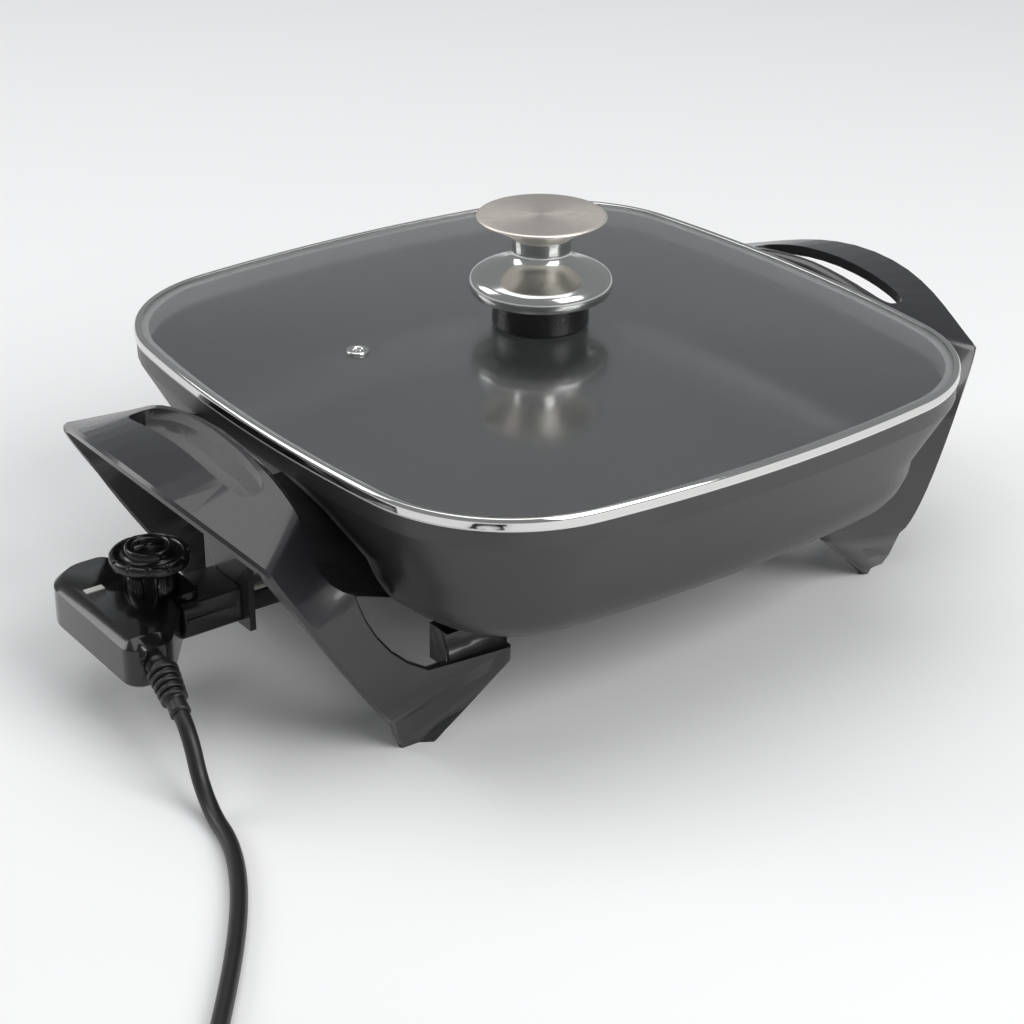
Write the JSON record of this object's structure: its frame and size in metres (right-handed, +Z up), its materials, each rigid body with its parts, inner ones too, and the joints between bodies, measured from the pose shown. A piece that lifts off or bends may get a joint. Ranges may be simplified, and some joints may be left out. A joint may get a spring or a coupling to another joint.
{
  "type": "electric skillet",
  "caption": "square electric skillet with a domed glass lid in a steel band, a disc knob on a flared skirt, black handle-and-leg mouldings and a plug-in dial control with its lead",
  "frame": {"origin": "on the table, under the middle of the width over the control and the grip, and of the length over the lid", "axes": "+Z up, X from handle to handle with the control on the -X side, -Y toward the user"},
  "size_m": [0.5623, 0.5375, 0.1816],
  "materials": {
    "pan_coating": "satin dark grey coating on cast aluminium",
    "element_sheath": "heat-darkened drawn sheath",
    "plated_pins": "nickel plated",
    "ceramic": "glazed white ceramic",
    "black_moulding": "satin black heat-resistant moulding",
    "screw_steel": "zinc plated",
    "lid_glass": "clear tempered glass",
    "polished_steel": "mirror polished stainless steel",
    "seal_rubber": "black silicone",
    "knob_black": "satin black moulding",
    "chrome_skirt": "bright plated",
    "brushed_disc": "fine brushed warm grey face with a polished edge",
    "control_black": "semi-gloss black",
    "nose_black": "satin black heat-resistant moulding",
    "dial_black": "semi-gloss black with ribs",
    "contact_brass": "stamped brass",
    "lamp_amber": "amber neon lamp",
    "lens_clear": "frosted clear lens",
    "cord_black": "dull black flexible jacket"
  },
  "bodies": {
    "skillet": {"pan": "pan_coating", "heating_element": "element_sheath", "terminal_pins": "plated_pins", "pin_insulators": "ceramic", "sensor_guide": "plated_pins", "socket_guard": "black_moulding", "guard_screws": "screw_steel", "left_handle": "black_moulding", "right_handle": "black_moulding", "leg_screws": "screw_steel"},
    "lid": {"lid_glass": "lid_glass", "lid_band": "polished_steel", "vent_grommet": "polished_steel", "knob_seal": "seal_rubber", "knob_base": "knob_black", "knob_skirt": "chrome_skirt", "knob_disc": "brushed_disc", "knob_screw": "screw_steel", "screw_washer": "screw_steel"},
    "control": {"control_base": "control_black", "control_cover": "control_black", "control_nose": "nose_black", "contact_sleeves": "contact_brass", "sensor_rod": "plated_pins", "thermostat_frame": "screw_steel", "contact_blades": "contact_brass", "contact_rivets": "plated_pins", "indicator_lamp": "lamp_amber", "indicator_lens": "lens_clear", "control_screws": "screw_steel", "dial_collar": "control_black", "strain_relief": "cord_black", "cord": "cord_black", "cord_coil": "cord_black", "cord_tie": "cord_black", "plug_body": "cord_black", "plug_blades": "plated_pins"},
    "dial": {"control_dial": "dial_black", "dial_spindle": "screw_steel"}
  },
  "joints": [
    {"name": "lid_lift", "type": "slide", "parent": "skillet", "child": "lid", "axis": [0, 0, 1], "range_m": [0, 0.15]},
    {"name": "control_pull", "type": "slide", "parent": "skillet", "child": "control", "axis": [-1, 0, 0], "range_m": [0, 0.11]},
    {"name": "dial_turn", "type": "hinge", "parent": "control", "child": "dial", "pos_m": [-0.1945, 0.0033, 0.0669], "axis": [0, 0, -1], "range_deg": [0, 300]}
  ]
}
